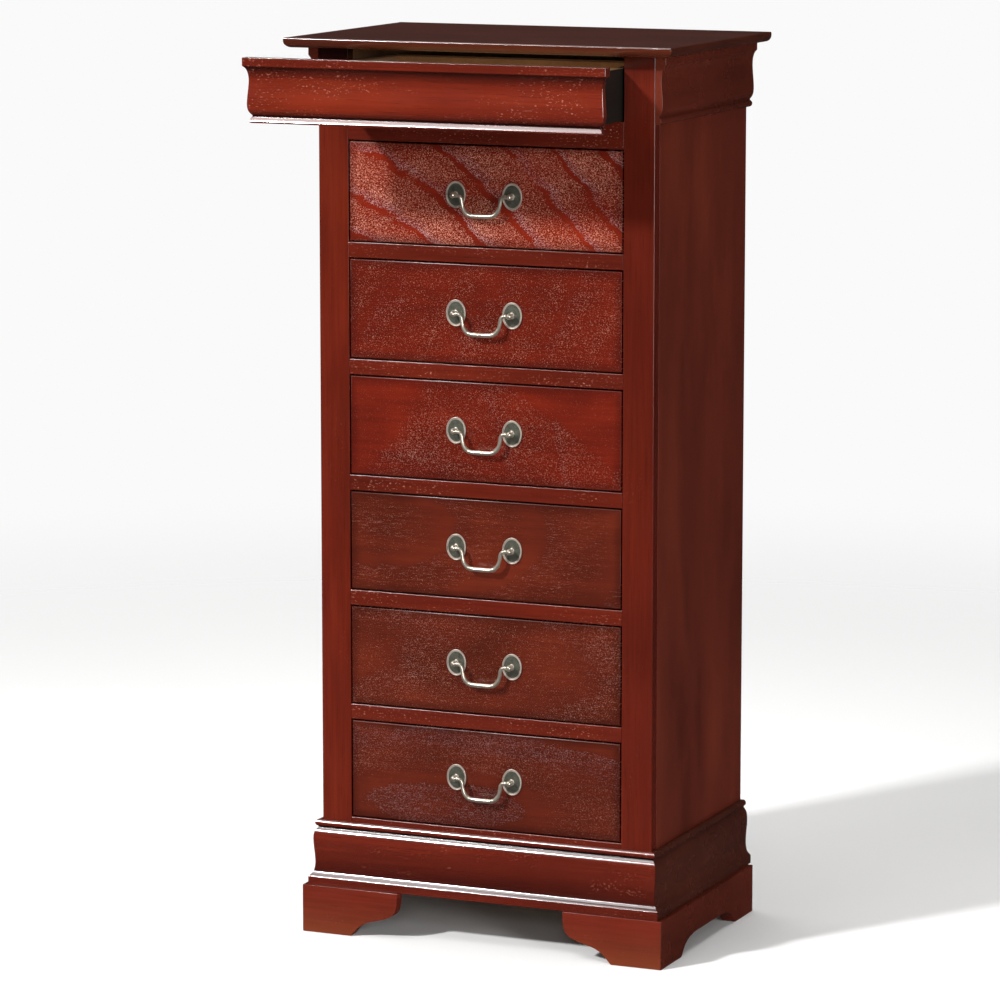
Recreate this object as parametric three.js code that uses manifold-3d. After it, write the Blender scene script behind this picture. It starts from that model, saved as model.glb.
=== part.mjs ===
// Jewelry armoire: a tall, narrow chest of seven drawers on bracket feet.
// Millimetres, +Z up. Each piece is a separate closed solid with its own name.
//
// The case is laid out with y = 0 on the front face of the face frame, y growing towards the back,
// x = 0 on the centre line and z = 0 on the floor. The whole group is then moved along y so that the
// origin lies on the floor under the middle of the outline, with the top drawer pulled out.

import * as THREE from 'three';
import { mergeVertices } from 'three/addons/utils/BufferGeometryUtils.js';
import Module from 'manifold-3d';

const wasm = await Module();
wasm.setup();

// ---------------------------------------------------------------- driving dimensions
const HEIGHT = 1295;                 // floor to the top surface
const CASE_HALF_WIDTH = 255.9;       // outer face of a side panel
const CASE_DEPTH = 358.6;            // front of the face frame to the back
const GAP = 0.3;                     // kept between pieces that touch

const TOP_THICKNESS = 14;
const TOP_HALF_WIDTH = 293.1;
const TOP_FRONT_OVERHANG = 37.1;
const TOP_ROUND = 9.5;               // rounding of the top's lower edge

const SIDE_THICKNESS = 16;
const STILE_INNER = 209.8;           // inner edge of a stile, half the drawer opening
const STILE_THICKNESS = 18;
const BACK_THICKNESS = 6.4;
const GUIDE_THICKNESS = 12;
const SHELF_THICKNESS = 8;           // dust shelf glued behind each rail

const PLINTH_BOTTOM = 69.8;          // underside of the base moulding, top of the feet
const PLINTH_TOP = 164.6;
const CORNICE_BOTTOM = 1187;         // lower edge of the bead under the top drawer
const MOULDING_HEIGHT = 94.0;

const DRAWER_COUNT = 6;              // equal drawers under the top drawer
const DRAWER_PITCH = 166.9;
const OPENING_HEIGHT = 145;
const FIRST_OPENING_TOP = 1151.5;
const FRONT_REVEAL = 1.7;            // gap round a drawer front
const FRONT_THICKNESS = 19;
const BOX_HALF_WIDTH = 206.5;
const BOX_WALL = 12;
const BOX_HEIGHT = 116;
const BOX_BACK = 345;                // outer face of a drawer box's back
const BOX_FLOOR_UP = 8;              // recess under a drawer bottom
const BOX_FLOOR = 6;

const TOP_DRAWER_PULLED = 199;       // how far the top drawer stands open
const TOP_FRONT_HALF_WIDTH = 253.7;  // before the moulding's own projection
const TOP_FRONT_LOW = 1188.5;
const TOP_FRONT_HIGH = 1278.7;
const TOP_RAIL_TOP = 1190;
const TOP_BOX_TOP = 1264;
const LINING = 2;
const LINING_TOP = 1261.5;

const FOOT_HALF_WIDTH = 279.4;
const FOOT_FRONT = 20.6;             // feet stand this far in front of the face frame
const FOOT_BACK = 348.8;
const FRONT_FOOT_THICKNESS = 17;
const SIDE_FOOT_THICKNESS = 20;
const CLEAT_LOW = 32;

const PULL_HALF_SPACING = 43;        // centre line to a post
const PULL_ABOVE_CENTRE = 1.2;
const PIVOT_OUT = 12.5;              // bail axis in front of the drawer face
const PLATE_HALF_HEIGHT = 19;
const PLATE_HALF_WIDTH = 15;
const POST_RADIUS = 3.3;
const KNOB_RADIUS = 4.3;
const PIVOT_HOLE_RADIUS = 2.5;
const WIRE_RADIUS = 2.15;

const Y_SHIFT = -(CASE_DEPTH - (TOP_DRAWER_PULLED + 15.6)) / 2;

// Projection of the cornice and base moulding from the face it is fixed to, against the distance
// from the outer edge of its bead. The cornice has its bead below, the base has it above.
const MOULDING = [
  [0.0, 5.0], [1.4, 7.7], [4.6, 8.8], [7.9, 7.7], [9.4, 5.3], [11.2, 5.3],
  [13.4, 7.9], [17.5, 9.9], [25.0, 10.8], [36.0, 10.5], [48.0, 9.5], [60.0, 8.9],
  [68.0, 9.3], [73.5, 10.9], [77.5, 13.2], [80.2, 15.2], [83.0, 15.6], [94.0, 15.4],
];
const CORNICE_SCALE = 1.0;
const BASE_LIP_EXTRA = 1.3;          // the base moulding's fillet stands a little further out

// Front face of a bracket foot: distance from the outer corner, height.
const FRONT_FOOT = [
  [0, 0], [75.7, 0], [80, 4.6], [86.3, 11.8], [94.8, 18.1], [105.4, 22.9], [118.1, 26.4],
  [130.9, 30.3], [139.4, 34.2], [145.8, 40.4], [149.2, 51.5], [150, 69.5], [0, 69.5],
];
// Side board of the feet: depth from the face frame, height. The arch is the same at both ends.
const ARCH = [
  [56.8, 0], [59.6, 1.2], [64, 5.2], [71, 12.2], [82, 18.6], [96, 22.9], [116, 25],
  [219, 25], [239, 22.9], [253, 18.6], [264, 12.2], [271, 5.2], [275.4, 1.2], [278.2, 0],
];

// ---------------------------------------------------------------- helpers
const group = new THREE.Group();
group.name = 'jewelry_armoire';
const caseGroup = new THREE.Group();
caseGroup.position.set(0, Y_SHIFT, 0);
group.add(caseGroup);
const topDrawer = new THREE.Group();
topDrawer.position.set(0, -TOP_DRAWER_PULLED, 0);
caseGroup.add(topDrawer);

const COLOURS = {
  case_wood: [0x6a2416, 0.32], front_wood: [0x7a2c1e, 0.34], side_wood: [0x4f2016, 0.36],
  inner_wood: [0x9a7450, 0.7], lining: [0x8a6038, 0.95], metal: [0x9c9684, 0.35],
};

function add(parent, name, geometry, look) {
  const [colour, rough] = COLOURS[look];
  const material = new THREE.MeshStandardMaterial({
    color: colour, roughness: rough, metalness: look === 'metal' ? 0.9 : 0,
  });
  const mesh = new THREE.Mesh(geometry, material);
  mesh.name = name;
  parent.add(mesh);
  return mesh;
}

function solid(geometry) {
  const g = geometry.clone();
  g.deleteAttribute('normal');
  g.deleteAttribute('uv');
  const m = mergeVertices(g, 1e-4);
  return new wasm.Manifold(new wasm.Mesh({
    numProp: 3,
    vertProperties: new Float32Array(m.attributes.position.array),
    triVerts: new Uint32Array(m.index.array),
  }));
}

function geometryOf(manifold) {
  const mesh = manifold.getMesh();
  const g = new THREE.BufferGeometry();
  const points = new Float32Array(mesh.numVert * 3);
  for (let i = 0; i < mesh.numVert; i++) {
    for (let k = 0; k < 3; k++) points[i * 3 + k] = mesh.vertProperties[i * mesh.numProp + k];
  }
  g.setAttribute('position', new THREE.BufferAttribute(points, 3));
  g.setIndex(new THREE.BufferAttribute(new Uint32Array(mesh.triVerts), 1));
  g.computeVertexNormals();
  return g;
}

function slab([x0, x1], [y0, y1], [z0, z1]) {
  const g = new THREE.BoxGeometry(x1 - x0, y1 - y0, z1 - z0);
  g.translate((x0 + x1) / 2, (y0 + y1) / 2, (z0 + z1) / 2);
  return g;
}

function outline(points) {
  return new THREE.Shape(points.map(([a, b]) => new THREE.Vector2(a, b)));
}

// Section in (x, z), swept along y.
function alongY(points, y0, y1) {
  const g = new THREE.ExtrudeGeometry(outline(points), { depth: y1 - y0, bevelEnabled: false, curveSegments: 8 });
  g.rotateX(Math.PI / 2);      // section (x, y) -> (x, z), depth -> -y
  g.translate(0, y1, 0);
  return g;
}

// Section in (y, z), swept along x.
function alongX(points, x0, x1) {
  const g = new THREE.ExtrudeGeometry(outline(points), { depth: x1 - x0, bevelEnabled: false, curveSegments: 8 });
  g.rotateZ(Math.PI / 2);      // (y, z, depth): first turn the section's first axis to y ...
  g.rotateY(Math.PI / 2);      // ... then stand it up, with the depth along x
  g.translate(x0, 0, 0);
  return g;
}

// Plan outline in (x, y), raised along z.
function alongZ(points, z0, z1) {
  const g = new THREE.ExtrudeGeometry(outline(points), { depth: z1 - z0, bevelEnabled: false, curveSegments: 8 });
  g.translate(0, 0, z0);
  return g;
}

function mirrorX(points) {
  return points.map(([a, b]) => [-a, b]).reverse();
}

// Moulding as [height, projection] pairs, bottom to top.
function corniceAt(low, high) {
  const k = (high - low) / MOULDING_HEIGHT;
  return MOULDING.map(([t, c]) => [low + t * k, c * CORNICE_SCALE]);
}
function baseMoulding() {
  const k = (PLINTH_TOP - PLINTH_BOTTOM) / MOULDING_HEIGHT;
  return MOULDING.map(([t, c]) => [PLINTH_TOP - t * k, c * 0.97 + (t > 79 ? BASE_LIP_EXTRA : 0)]).reverse();
}

// ---------------------------------------------------------------- top
{
  const z0 = HEIGHT - TOP_THICKNESS, z1 = HEIGHT, r = TOP_ROUND, n = 4;
  const w = TOP_HALF_WIDTH, f = -TOP_FRONT_OVERHANG, b = CASE_DEPTH;
  const arc = (cx, cz, a0, a1) => Array.from({ length: n + 1 }, (_, i) => {
    const a = a0 + (a1 - a0) * i / n;
    return [cx + r * Math.cos(a), cz + r * Math.sin(a)];
  });
  const across = [[w, z1], [-w, z1], ...arc(-w + r, z0 + r, Math.PI, 1.5 * Math.PI), ...arc(w - r, z0 + r, -0.5 * Math.PI, 0)];
  const deep = [[b, z1], [f, z1], ...arc(f + r, z0 + r, Math.PI, 1.5 * Math.PI), [b, z0]];
  const top = solid(alongY(across, f - 5, b + 5)).intersect(solid(alongX(deep, -w - 5, w + 5)));
  add(caseGroup, 'top_panel', geometryOf(top), 'case_wood');
}

// ---------------------------------------------------------------- case
const CASE_TOP = HEIGHT - TOP_THICKNESS - GAP;
const CASE_LOW = PLINTH_BOTTOM + 0.2;
for (const [side, s] of [['left', -1], ['right', 1]]) {
  const span = (a, b) => (s > 0 ? [a, b] : [-b, -a]);
  add(caseGroup, `${side}_side_panel`,
    slab(span(CASE_HALF_WIDTH - SIDE_THICKNESS, CASE_HALF_WIDTH), [STILE_THICKNESS + GAP, CASE_DEPTH], [CASE_LOW, CASE_TOP]), 'side_wood');
  add(caseGroup, `${side}_stile`,
    slab(span(STILE_INNER, CASE_HALF_WIDTH), [0, STILE_THICKNESS], [CASE_LOW, CASE_TOP]), 'case_wood');
  add(caseGroup, `${side}_guide_board`,
    slab(span(STILE_INNER, STILE_INNER + GUIDE_THICKNESS), [STILE_THICKNESS + GAP, CASE_DEPTH - BACK_THICKNESS - GAP], [CASE_LOW, CASE_TOP]), 'inner_wood');
}
add(caseGroup, 'back_panel',
  slab([-(CASE_HALF_WIDTH - SIDE_THICKNESS - GAP), CASE_HALF_WIDTH - SIDE_THICKNESS - GAP], [CASE_DEPTH - BACK_THICKNESS, CASE_DEPTH], [CASE_LOW, CASE_TOP]), 'inner_wood');

const SHELF_BACK = CASE_DEPTH - BACK_THICKNESS - GAP;
const openingTop = (k) => FIRST_OPENING_TOP - (k - 1) * DRAWER_PITCH;
const openingLow = (k) => openingTop(k) - OPENING_HEIGHT;
const railHalf = STILE_INNER - GAP;
for (let k = 1; k <= DRAWER_COUNT; k++) {
  const z1 = k === 1 ? TOP_RAIL_TOP : openingLow(k - 1);
  const z0 = openingTop(k);
  const rail = solid(slab([-railHalf, railHalf], [0, STILE_THICKNESS], [z0, z1]));
  const shelf = solid(slab([-railHalf, railHalf], [STILE_THICKNESS - 2, SHELF_BACK], [z1 - SHELF_THICKNESS, z1]));
  add(caseGroup, `drawer_divider_${k}`, geometryOf(rail.add(shelf)), 'case_wood');
}
add(caseGroup, 'base_panel',
  slab([-railHalf, railHalf], [0, SHELF_BACK], [openingLow(DRAWER_COUNT) - 18, openingLow(DRAWER_COUNT)]), 'case_wood');

// ---------------------------------------------------------------- cornice on the sides
for (const [side, s] of [['left', -1], ['right', 1]]) {
  const p = corniceAt(CORNICE_BOTTOM, CASE_TOP);
  const inner = CASE_HALF_WIDTH + GAP;
  let section = [[inner, p[0][0]], ...p.map(([z, c]) => [CASE_HALF_WIDTH + c, z]), [inner, p[p.length - 1][0]]];
  if (s < 0) section = mirrorX(section);
  add(caseGroup, `${side}_cornice_moulding`, alongY(section, 0, CASE_DEPTH), 'side_wood');
}

// ---------------------------------------------------------------- base moulding, mitred at the front
{
  const p = baseMoulding();
  const far = 40, h = CASE_HALF_WIDTH, g = GAP;
  const frontSection = [[-g, p[0][0]], [-g, p[p.length - 1][0]], ...[...p].reverse().map(([z, c]) => [-c, z])];
  const frontPlan = [[-h + g, 0], [-h - far + g, -far], [h + far - g, -far], [h - g, 0]];
  const front = solid(alongX(frontSection, -h - far, h + far)).intersect(solid(alongZ(frontPlan, 0, 300)));
  add(caseGroup, 'base_moulding_front', geometryOf(front), 'case_wood');
  for (const [side, s] of [['left', -1], ['right', 1]]) {
    let section = [[h + g, p[0][0]], ...p.map(([z, c]) => [h + c, z]), [h + g, p[p.length - 1][0]]];
    let plan = [[h, g], [h + far, -far + g], [h + far, CASE_DEPTH], [h, CASE_DEPTH]];
    if (s < 0) { section = mirrorX(section); plan = mirrorX(plan); }
    const m = solid(alongY(section, -far, CASE_DEPTH)).intersect(solid(alongZ(plan, 0, 300)));
    add(caseGroup, `base_moulding_${side}`, geometryOf(m), 'side_wood');
  }
}

// ---------------------------------------------------------------- feet
{
  const W = FOOT_HALF_WIDTH, F = -FOOT_FRONT, t = FRONT_FOOT_THICKNESS, u = SIDE_FOOT_THICKNESS, g = GAP;
  const boardTop = PLINTH_BOTTOM - GAP;
  for (const [side, s] of [['left', -1], ['right', 1]]) {
    let face = FRONT_FOOT.map(([d, z]) => [W - d, z]);
    let plan = [[W - g, F], [W - u - g, F + t], [W - 160, F + t], [W - 160, F]];
    let boardPlan = [[W, F + g], [W, FOOT_BACK], [W - u, FOOT_BACK], [W - u, F + t + g]];
    if (s < 0) { face = mirrorX(face); plan = mirrorX(plan); boardPlan = mirrorX(boardPlan); }
    const bracket = solid(alongY(face, F - 5, F + t + 5)).intersect(solid(alongZ(plan, -5, 100)));
    add(caseGroup, `${side}_front_foot`, geometryOf(bracket), 'case_wood');

    const side_view = [[F - 5, 0], ...ARCH, [FOOT_BACK + 5, 0], [FOOT_BACK + 5, boardTop], [F - 5, boardTop]];
    const x0 = s > 0 ? W - u - 5 : -W - 5;
    const board = solid(alongX(side_view, x0, x0 + u + 10)).intersect(solid(alongZ(boardPlan, -5, 100)));
    add(caseGroup, `${side}_side_foot_board`, geometryOf(board), 'side_wood');

    const span = s > 0 ? [CASE_HALF_WIDTH - SIDE_THICKNESS, W - u - g] : [-(W - u - g), -(CASE_HALF_WIDTH - SIDE_THICKNESS)];
    add(caseGroup, `${side}_base_cleat`, slab(span, [F + t + g, FOOT_BACK], [CLEAT_LOW, boardTop]), 'inner_wood');
  }
}

// ---------------------------------------------------------------- drawer boxes
// Two sides, a back and a bottom let in above the lower edge; frontWall closes the fourth side.
function drawerBox(y0, z0, z1, frontWall) {
  const w = BOX_HALF_WIDTH, t = BOX_WALL;
  const floor = z0 + BOX_FLOOR_UP;
  let body = solid(slab([-w, w], [y0, BOX_BACK], [z0, z1]));
  const inFront = frontWall > 0 ? y0 + frontWall : y0 - 5;
  body = body.subtract(solid(slab([-w + t, w - t], [inFront, BOX_BACK - t], [floor + BOX_FLOOR, z1 + 5])));
  body = body.subtract(solid(slab([-w + t, w - t], [inFront, BOX_BACK - t], [z0 - 5, floor])));
  return geometryOf(body);
}

// ---------------------------------------------------------------- top drawer, pulled out
{
  // The front is the cornice carried across the chest and returned round both ends.
  const p = corniceAt(TOP_FRONT_LOW, TOP_FRONT_HIGH);
  const w = TOP_FRONT_HALF_WIDTH;
  const deep = [[0, p[0][0]], [0, p[p.length - 1][0]], ...[...p].reverse().map(([z, c]) => [-c, z])];
  const across = [...p.map(([z, c]) => [w + c, z]), ...[...p].reverse().map(([z, c]) => [-w - c, z])];
  const front = solid(alongX(deep, -w - 40, w + 40)).intersect(solid(alongY(across, -40, 20)));
  add(topDrawer, 'top_drawer_front', geometryOf(front), 'front_wood');
  const z0 = TOP_RAIL_TOP + 0.8;
  add(topDrawer, 'top_drawer_box', drawerBox(GAP, z0, TOP_BOX_TOP, 14), 'inner_wood');
  // Felt lining: a thin tray on the bottom and walls.
  const floor = z0 + BOX_FLOOR_UP + BOX_FLOOR + GAP;
  const x = BOX_HALF_WIDTH - BOX_WALL - GAP, y0 = GAP + 14 + GAP, y1 = BOX_BACK - BOX_WALL - GAP;
  const felt = solid(slab([-x, x], [y0, y1], [floor, LINING_TOP]))
    .subtract(solid(slab([-x + LINING, x - LINING], [y0 + LINING, y1 - LINING], [floor + LINING, LINING_TOP + 5])));
  add(topDrawer, 'top_drawer_lining', geometryOf(felt), 'lining');
}

// ---------------------------------------------------------------- six equal drawers with bail pulls
function backplateAndPost(s) {
  const back = 0.4;
  const plateSection = [[0, back], [19, back], [19, 1.8], [17.6, 3.0], [15.8, 1.6], [0, 2.2]];
  const plate = new THREE.LatheGeometry(plateSection.map(([r, h]) => new THREE.Vector2(r, h)), 16);
  plate.scale(PLATE_HALF_WIDTH / PLATE_HALF_HEIGHT, 1, 1);
  const k = KNOB_RADIUS, c = PIVOT_OUT;
  const postSection = [[0, 1], [POST_RADIUS, 1], [POST_RADIUS, c - 3.4], [k * 0.9, c - 2], [k, c], [k * 0.72, c + 3], [0, c + k]];
  const post = new THREE.LatheGeometry(postSection.map(([r, h]) => new THREE.Vector2(r, h)), 10);
  const hole = new THREE.CylinderGeometry(PIVOT_HOLE_RADIUS, PIVOT_HOLE_RADIUS, 12, 8);
  hole.rotateZ(Math.PI / 2);
  hole.translate(-s * (6 - 2.2), c, 0);
  const piece = solid(plate).add(solid(post)).subtract(solid(hole));
  const g = geometryOf(piece);
  g.rotateX(Math.PI);          // the lathe axis points out of the drawer, towards -y
  return g;
}

function bail() {
  // Half of the bail from the pivot in, as (x, z) from the pivot axis.
  const half = [[41.6, 0], [36.5, 0], [32.6, -0.9], [30.0, -4.0], [29.2, -9.0], [28.2, -15.0], [24.6, -22.4], [18.4, -27.0], [9, -28.0]];
  const points = [...half.map(([x, z]) => new THREE.Vector3(-x, 0, z)), new THREE.Vector3(0, 0, -28.2),
    ...[...half].reverse().map(([x, z]) => new THREE.Vector3(x, 0, z))];
  const path = new THREE.CatmullRomCurve3(points, false, 'centripetal');
  const section = new THREE.Shape();
  const n = 6;
  for (let i = 0; i < n; i++) {
    const a = (i + 0.5) / n * 2 * Math.PI;
    const v = [WIRE_RADIUS * Math.cos(a), WIRE_RADIUS * Math.sin(a)];
    if (i === 0) section.moveTo(...v); else section.lineTo(...v);
  }
  section.closePath();
  return new THREE.ExtrudeGeometry(section, { steps: 26, bevelEnabled: false, extrudePath: path });
}

for (let k = 1; k <= DRAWER_COUNT; k++) {
  const low = openingLow(k), high = openingTop(k);
  const w = STILE_INNER - FRONT_REVEAL;
  add(caseGroup, `drawer_${k}_front`, slab([-w, w], [0, FRONT_THICKNESS], [low + FRONT_REVEAL, high - FRONT_REVEAL]), 'front_wood');
  add(caseGroup, `drawer_${k}_box`, drawerBox(FRONT_THICKNESS + GAP, low + 0.8, low + 0.8 + BOX_HEIGHT, 0), 'inner_wood');
  const zc = (low + high) / 2 + PULL_ABOVE_CENTRE;
  for (const [side, s] of [['left', -1], ['right', 1]]) {
    const post = add(caseGroup, `pull_${k}_${side}_post`, backplateAndPost(s), 'metal');
    post.position.set(s * PULL_HALF_SPACING, 0, zc);
  }
  const b = add(caseGroup, `pull_${k}_bail`, bail(), 'metal');
  b.position.set(0, -PIVOT_OUT, zc);
}

export default group;
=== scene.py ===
import math

import bmesh
import bpy
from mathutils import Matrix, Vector


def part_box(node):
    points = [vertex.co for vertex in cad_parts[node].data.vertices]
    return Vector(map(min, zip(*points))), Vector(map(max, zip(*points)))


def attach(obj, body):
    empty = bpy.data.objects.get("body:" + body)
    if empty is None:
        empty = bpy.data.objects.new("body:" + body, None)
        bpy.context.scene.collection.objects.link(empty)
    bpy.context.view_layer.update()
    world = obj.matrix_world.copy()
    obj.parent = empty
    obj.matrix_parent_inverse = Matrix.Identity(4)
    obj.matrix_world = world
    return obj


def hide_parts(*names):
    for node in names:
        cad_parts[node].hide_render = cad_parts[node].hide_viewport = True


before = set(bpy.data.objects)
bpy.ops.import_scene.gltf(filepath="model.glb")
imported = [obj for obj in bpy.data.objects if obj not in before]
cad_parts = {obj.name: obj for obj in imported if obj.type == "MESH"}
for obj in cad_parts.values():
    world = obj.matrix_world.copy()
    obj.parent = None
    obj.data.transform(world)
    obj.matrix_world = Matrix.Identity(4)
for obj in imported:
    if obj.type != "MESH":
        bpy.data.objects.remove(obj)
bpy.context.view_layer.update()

# ------------------------------------------------------------------ sizes, in millimetres
MM = 0.001
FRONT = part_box("left_stile")[0].y            # the face frame's front face, in metres


def at(x, y, z):
    """A point from x, y behind the face frame's front, and z, all in millimetres."""
    return Vector((x * MM, FRONT + y * MM, z * MM))


def mm_box(node):
    """(x0, x1, y0, y1, z0, z1) of a CAD node in millimetres, with y from the face frame's front."""
    low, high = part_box(node)
    return (low.x / MM, high.x / MM, (low.y - FRONT) / MM, (high.y - FRONT) / MM, low.z / MM, high.z / MM)


CASE_HALF = mm_box("right_side_panel")[1]
CASE_DEPTH = mm_box("right_side_panel")[3]
GAP = 0.3
COUNT = 6

# The moulding's face: height above its bead's outer edge, and how far it stands proud.
MOULDING_TALL = 94.0


def curve_through(points, per=6):
    """A smooth polyline through the points (centripetal Catmull-Rom)."""
    p = [Vector(q) for q in points]
    ends = [p[0] * 2 - p[1]] + p + [p[-1] * 2 - p[-2]]
    out = []
    for i in range(1, len(ends) - 2):
        a, b, c, d = ends[i - 1: i + 3]
        t0 = 0.0
        t1 = t0 + max((b - a).length, 1e-6) ** 0.5
        t2 = t1 + max((c - b).length, 1e-6) ** 0.5
        t3 = t2 + max((d - c).length, 1e-6) ** 0.5
        for k in range(per):
            t = t1 + (t2 - t1) * k / per
            a1 = a * ((t1 - t) / (t1 - t0)) + b * ((t - t0) / (t1 - t0))
            a2 = b * ((t2 - t) / (t2 - t1)) + c * ((t - t1) / (t2 - t1))
            a3 = c * ((t3 - t) / (t3 - t2)) + d * ((t - t2) / (t3 - t2))
            b1 = a1 * ((t2 - t) / (t2 - t0)) + a2 * ((t - t0) / (t2 - t0))
            b2 = a2 * ((t3 - t) / (t3 - t1)) + a3 * ((t - t1) / (t3 - t1))
            out.append(b1 * ((t2 - t) / (t2 - t1)) + b2 * ((t - t1) / (t2 - t1)))
    out.append(p[-1])
    return out


def moulding_face(extra=0.0, scale=1.0, nose=4.7):
    """(t, c) pairs from the bead's outer edge: bead, quirk, bulge, cove, fillet. nose is the bead's widest place."""
    bead = []
    for i in range(9):
        a = math.pi / 2 * i / 8
        round_t, round_c = nose - nose * math.cos(a), 5.05 + 3.75 * math.sin(a)
        flat_t, flat_c = nose * i / 8, 5.05 + 3.75 * i / 8
        q = 0.20 if nose > 3 else 0.0
        bead.append((round_t + (flat_t - round_t) * q, round_c + (flat_c - round_c) * q))
    for i in range(1, 11):
        a = math.pi / 2 * i / 10
        round_t, round_c = nose + (9.4 - nose) * math.sin(a), 5.05 + 3.75 * math.cos(a)
        flat_t, flat_c = nose + (9.4 - nose) * i / 10, 8.8 - 3.75 * i / 10
        q = 0.20 if nose > 3 else 0.72
        bead.append((round_t + (flat_t - round_t) * q, round_c + (flat_c - round_c) * q))
    quirk = [(9.5, 5.2), (11.2, 5.3)]
    swell = [tuple(v) for v in curve_through([
        (11.3, 5.3), (13.4, 7.1), (16.4, 8.95), (20.0, 10.2), (26.0, 10.85), (36.0, 10.5), (48.0, 9.5),
        (60.0, 8.8), (67.5, 9.1), (74.0, 10.35), (78.6, 12.2), (81.6, 15.0)], 5)]
    lip = [(82.1, 15.45), (82.7, 15.6), (93.6, 15.55), (93.9, 15.42), (94.0, 15.15)]
    out = []
    for t, c in bead + quirk + swell + lip:
        c = c * scale
        if extra and t > 76:
            c += extra * min(1.0, (t - 76) / 3.6)
        out.append((t, c))
    return out


# ------------------------------------------------------------------ materials
def ramp(nt, stops, interpolation="LINEAR"):
    n = nt.nodes.new("ShaderNodeValToRGB")
    n.color_ramp.interpolation = interpolation
    e = n.color_ramp.elements
    while len(e) < len(stops):
        e.new(0.5)
    for slot, (pos, col) in zip(e, stops):
        slot.position = pos
        if not hasattr(col, "__len__"):
            col = (col, col, col)
        slot.color = (*col, 1)
    return n


class Build:
    """Shorthand for making and joining shader nodes."""

    def __init__(self, name):
        self.m = bpy.data.materials.new(name)
        self.m.use_nodes = True
        self.nt = self.m.node_tree
        self.nt.nodes.clear()
        self.out = self.nt.nodes.new("ShaderNodeOutputMaterial")
        self.b = self.nt.nodes.new("ShaderNodeBsdfPrincipled")
        self.nt.links.new(self.b.outputs[0], self.out.inputs[0])
        self.coord = self.nt.nodes.new("ShaderNodeTexCoord").outputs["Object"]

    def link(self, a, b):
        self.nt.links.new(a, b)

    def mapped(self, scale, location=(0, 0, 0), rotation=(0, 0, 0)):
        n = self.nt.nodes.new("ShaderNodeMapping")
        n.inputs["Location"].default_value = location
        n.inputs["Rotation"].default_value = rotation
        n.inputs["Scale"].default_value = scale
        self.link(self.coord, n.inputs["Vector"])
        return n.outputs[0]

    def noise(self, vector, scale=1.0, detail=2.0, rough=0.5, distortion=0.0):
        n = self.nt.nodes.new("ShaderNodeTexNoise")
        n.inputs["Scale"].default_value = scale
        n.inputs["Detail"].default_value = detail
        n.inputs["Roughness"].default_value = rough
        n.inputs["Distortion"].default_value = distortion
        self.link(vector, n.inputs["Vector"])
        return n.outputs["Fac"]

    def math(self, op, a, b=None, c=None, clamp=False):
        n = self.nt.nodes.new("ShaderNodeMath")
        n.operation = op
        n.use_clamp = clamp
        for i, v in enumerate((a, b, c)):
            if v is None:
                continue
            if isinstance(v, (int, float)):
                n.inputs[i].default_value = v
            else:
                self.link(v, n.inputs[i])
        return n.outputs[0]

    def vmath(self, op, a, b=None):
        n = self.nt.nodes.new("ShaderNodeVectorMath")
        n.operation = op
        for i, v in enumerate((a, b)):
            if v is None:
                continue
            if isinstance(v, (tuple, list)):
                n.inputs[i].default_value = v
            else:
                self.link(v, n.inputs[i])
        return n.outputs["Value"] if op in ("LENGTH", "DISTANCE", "DOT_PRODUCT") else n.outputs["Vector"]

    def ramp(self, value, stops, interpolation="LINEAR"):
        n = ramp(self.nt, stops, interpolation)
        self.link(value, n.inputs["Fac"])
        return n.outputs["Color"]

    def mix(self, fac, a, b, blend="MIX"):
        n = self.nt.nodes.new("ShaderNodeMix")
        n.data_type = "RGBA"
        n.blend_type = blend
        n.clamp_factor = True
        for socket, v in ((n.inputs[0], fac), (n.inputs[6], a), (n.inputs[7], b)):
            if isinstance(v, (int, float)):
                socket.default_value = v
            elif isinstance(v, tuple):
                socket.default_value = (*v, 1)
            else:
                self.link(v, socket)
        return n.outputs[2]

    def spread(self, value, low, high):
        n = self.nt.nodes.new("ShaderNodeMapRange")
        n.interpolation_type = "SMOOTHSTEP"
        n.inputs["From Min"].default_value = low
        n.inputs["From Max"].default_value = high
        self.link(value, n.inputs["Value"])
        return n.outputs[0]

    def bump(self, height, strength, distance, after=None):
        n = self.nt.nodes.new("ShaderNodeBump")
        n.inputs["Strength"].default_value = strength
        n.inputs["Distance"].default_value = distance
        self.link(height, n.inputs["Height"])
        if after is not None:
            self.link(after, n.inputs["Normal"])
        return n.outputs[0]

    def finish(self, colour, rough, normal=None, **constants):
        self.link(colour, self.b.inputs["Base Color"])
        if isinstance(rough, (int, float)):
            self.b.inputs["Roughness"].default_value = rough
        else:
            self.link(rough, self.b.inputs["Roughness"])
        if normal is not None:
            self.link(normal, self.b.inputs["Normal"])
        for key, value in constants.items():
            self.b.inputs[key.replace("_", " ")].default_value = value
        return self.m


def along(axis, fine, stretch):
    """Texture scale with the grain drawn out along an axis."""
    return tuple(fine * (stretch if i == axis else 1.0) for i in range(3))


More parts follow.
